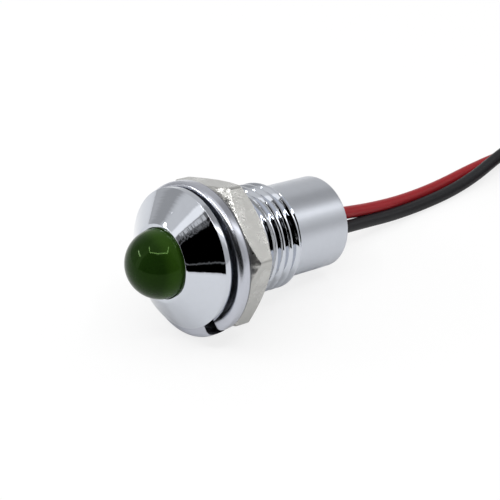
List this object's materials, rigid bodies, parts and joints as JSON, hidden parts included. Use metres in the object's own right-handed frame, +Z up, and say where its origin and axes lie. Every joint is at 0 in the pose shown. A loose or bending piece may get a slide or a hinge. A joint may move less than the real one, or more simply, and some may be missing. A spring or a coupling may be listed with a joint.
{
  "type": "led panel indicator",
  "caption": "Panel-mounting indicator lamp with a chromed conical bezel, green dome lens, threaded shank with nut and split spring washer, and two insulated flying leads",
  "frame": {"origin": "on the surface the part lies on, under the middle of the box of its rigid body, leads left out", "axes": "+Y runs from the lamp towards the leads, seen from above; +Z is up; +X completes the right hand. The body's own axis is in the YZ plane, tilted about 12 degrees, lamp end up."},
  "size_m": [0.0221, 0.0517, 0.0112],
  "materials": {
    "bezel_chrome": "bright chrome plate on turned brass",
    "washer_steel": "bright plated spring steel",
    "nut_nickel": "matte nickel plate, tumbled",
    "lens_green": "deep green diffused epoxy, gloss",
    "leadframe_steel": "tin-plated steel strip",
    "chip_crystal": "polished semiconductor",
    "bond_gold": "bright gold wire",
    "resistor_ceramic": "tan lacquered ceramic",
    "solder_tin": "dull solder",
    "sleeve_shrink": "shrunk polyolefin",
    "potting_epoxy": "cast black epoxy",
    "red_pvc": "satin extruded insulation",
    "black_pvc": "satin extruded insulation",
    "core_tin": "tinned copper strand",
    "tie_nylon": "natural nylon"
  },
  "bodies": {
    "root": {"bezel_body": "bezel_chrome", "lock_washer": "washer_steel", "hex_nut": "nut_nickel", "led_lens": "lens_green", "led_cathode_frame": "leadframe_steel", "led_anode_frame": "leadframe_steel", "led_chip": "chip_crystal", "led_bond_wire": "bond_gold", "resistor_body": "resistor_ceramic", "resistor_leg_front": "core_tin", "resistor_leg_rear": "core_tin", "anode_solder": "solder_tin", "red_solder": "solder_tin", "black_solder": "solder_tin", "red_core": "core_tin", "black_core": "core_tin", "red_sleeve": "sleeve_shrink", "black_sleeve": "sleeve_shrink", "potting": "potting_epoxy", "red_lead": "red_pvc", "black_lead": "black_pvc", "red_coil": "red_pvc", "black_coil": "black_pvc", "coil_tie": "tie_nylon", "red_tip": "core_tin", "black_tip": "core_tin"}
  },
  "joints": []
}
